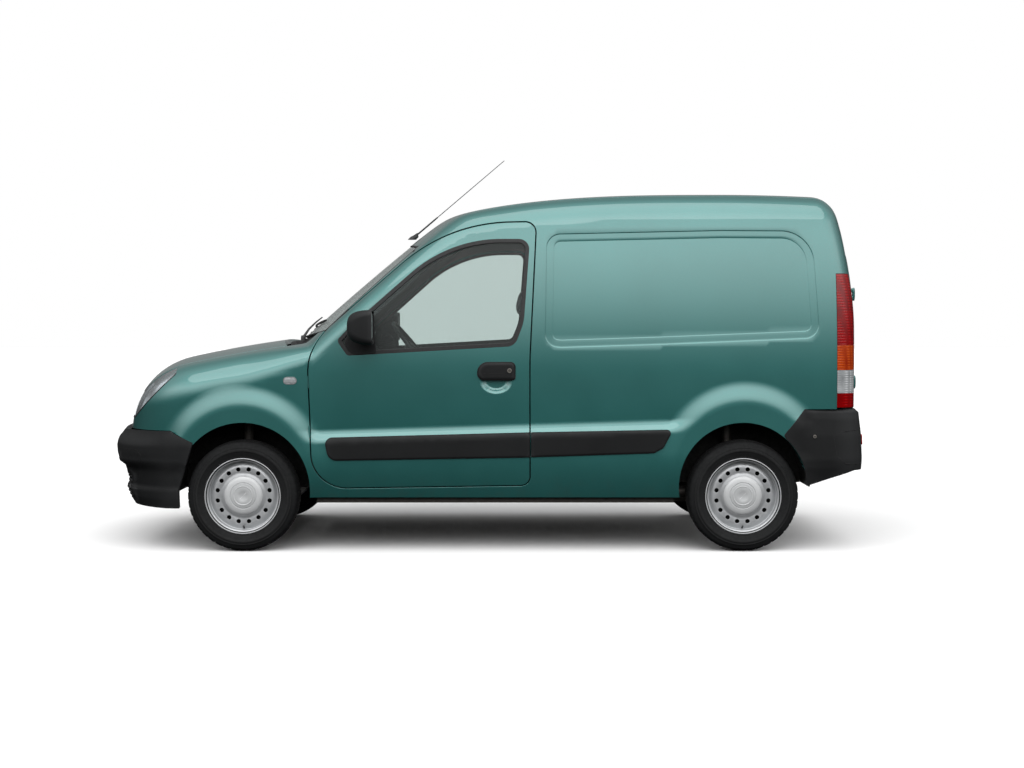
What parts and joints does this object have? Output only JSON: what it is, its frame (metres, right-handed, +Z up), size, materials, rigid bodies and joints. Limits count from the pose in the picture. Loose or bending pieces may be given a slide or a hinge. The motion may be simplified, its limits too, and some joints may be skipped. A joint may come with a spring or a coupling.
{
  "type": "compact panel van",
  "caption": "Compact panel van with hollow cab and load space, hinged side and rear doors, bonnet, steered front wheels and rolling wheels.",
  "frame": {"origin": "on the ground, half-way along the van, on its centre plane", "axes": "nose towards -X, left side towards -Y, +Z up"},
  "size_m": [4.035, 1.97, 2.1089],
  "materials": {
    "paint": "metallic teal green paint",
    "trim": "black textured moulded plastic",
    "glass": "pale green tinted safety glass",
    "lamp_clear": "clear lamp lens",
    "lamp_red": "red, orange and clear lamp lens",
    "tyre": "black rubber",
    "wheel": "silver painted pressed steel",
    "underbody": "dark underseal",
    "iron": "bare dark casting",
    "inner_trim": "dark grey moulded plastic",
    "seat_cloth": "dark grey woven cloth"
  },
  "bodies": {
    "van": {"roof": "paint", "windscreen": "glass", "scuttle": "trim", "front_bumper": "trim", "rear_bumper": "trim", "grille": "trim", "bulkhead": "inner_trim", "dashboard": "inner_trim", "engine": "iron", "floor_pan": "underbody", "subframe": "underbody", "rear_axle": "underbody", "exhaust": "iron", "fuel_tank": "underbody", "spare_wheel": "tyre", "aerial": "trim", "body_side_left": "paint", "body_side_right": "paint", "headlamps": "lamp_clear", "tail_lamps": "lamp_red", "side_mouldings": "trim", "door_hinges": "iron", "seats": "seat_cloth", "wings": "paint", "front_rails": "underbody", "wheel_arches": "underbody"},
    "bonnet": {"bonnet": "paint"},
    "steering_wheel": {"steering_wheel": "inner_trim"},
    "door_left": {"door_left": "paint", "door_glass_left": "glass", "door_trim_left": "trim"},
    "rear_door_left": {"rear_door_left": "paint", "rear_door_glass_left": "glass"},
    "knuckle_left": {"knuckle_left": "iron"},
    "door_right": {"door_right": "paint", "door_glass_right": "glass", "door_trim_right": "trim"},
    "rear_door_right": {"rear_door_right": "paint", "rear_door_glass_right": "glass"},
    "knuckle_right": {"knuckle_right": "iron"},
    "wheel_front_left": {"tyre_front_left": "tyre", "rim_front_left": "wheel"},
    "wheel_front_right": {"tyre_front_right": "tyre", "rim_front_right": "wheel"},
    "wheel_rear_left": {"tyre_rear_left": "tyre", "rim_rear_left": "wheel"},
    "wheel_rear_right": {"tyre_rear_right": "tyre", "rim_rear_right": "wheel"}
  },
  "joints": [
    {"name": "door_left_hinge", "type": "hinge", "parent": "van", "child": "door_left", "pos_m": [-0.88297, -0.82798, 0.6], "axis": [-0.0397, 0.076, 0.9963], "range_deg": [-68, 0]},
    {"name": "door_right_hinge", "type": "hinge", "parent": "van", "child": "door_right", "pos_m": [-0.88297, 0.82798, 0.6], "axis": [-0.0397, -0.076, 0.9963], "range_deg": [0, 68]},
    {"name": "rear_door_left_hinge", "type": "hinge", "parent": "van", "child": "rear_door_left", "pos_m": [1.96096, -0.667, 0.85], "axis": [-0.0205, 0, 0.9998], "range_deg": [-170, 0]},
    {"name": "rear_door_right_hinge", "type": "hinge", "parent": "van", "child": "rear_door_right", "pos_m": [1.96096, 0.667, 0.85], "axis": [-0.0205, 0, 0.9998], "range_deg": [0, 170]},
    {"name": "bonnet_hinge", "type": "hinge", "parent": "van", "child": "bonnet", "pos_m": [-1.01808, 0, 1.03346], "axis": [0, 1, 0], "range_deg": [0, 50]},
    {"name": "steer_left", "type": "hinge", "parent": "van", "child": "knuckle_left", "pos_m": [-1.2425, -0.6, 0.29], "axis": [0, 0.1289, 0.9917], "range_deg": [-33, 33]},
    {"name": "steer_right", "type": "hinge", "parent": "van", "child": "knuckle_right", "pos_m": [-1.2425, 0.6, 0.29], "axis": [0, -0.1289, 0.9917], "range_deg": [-33, 33]},
    {"name": "steering_wheel_turn", "type": "hinge", "parent": "van", "child": "steering_wheel", "pos_m": [-0.368, -0.37, 1.043], "axis": [0.7804, 0, 0.6253], "range_deg": [-480, 480]},
    {"name": "wheel_front_left_roll", "type": "hinge", "parent": "knuckle_left", "child": "wheel_front_left", "pos_m": [-1.2425, -0.7, 0.29], "axis": [0, 1, 0], "continuous": true},
    {"name": "wheel_front_right_roll", "type": "hinge", "parent": "knuckle_right", "child": "wheel_front_right", "pos_m": [-1.2425, 0.7, 0.29], "axis": [0, 1, 0], "continuous": true},
    {"name": "wheel_rear_left_roll", "type": "hinge", "parent": "van", "child": "wheel_rear_left", "pos_m": [1.3625, -0.7, 0.29], "axis": [0, 1, 0], "continuous": true},
    {"name": "wheel_rear_right_roll", "type": "hinge", "parent": "van", "child": "wheel_rear_right", "pos_m": [1.3625, 0.7, 0.29], "axis": [0, 1, 0], "continuous": true}
  ],
  "couplings": [
    {"joint": "steer_right", "follows": "steer_left", "ratio": 1},
    {"joint": "steering_wheel_turn", "follows": "steer_left", "ratio": 14.5}
  ]
}
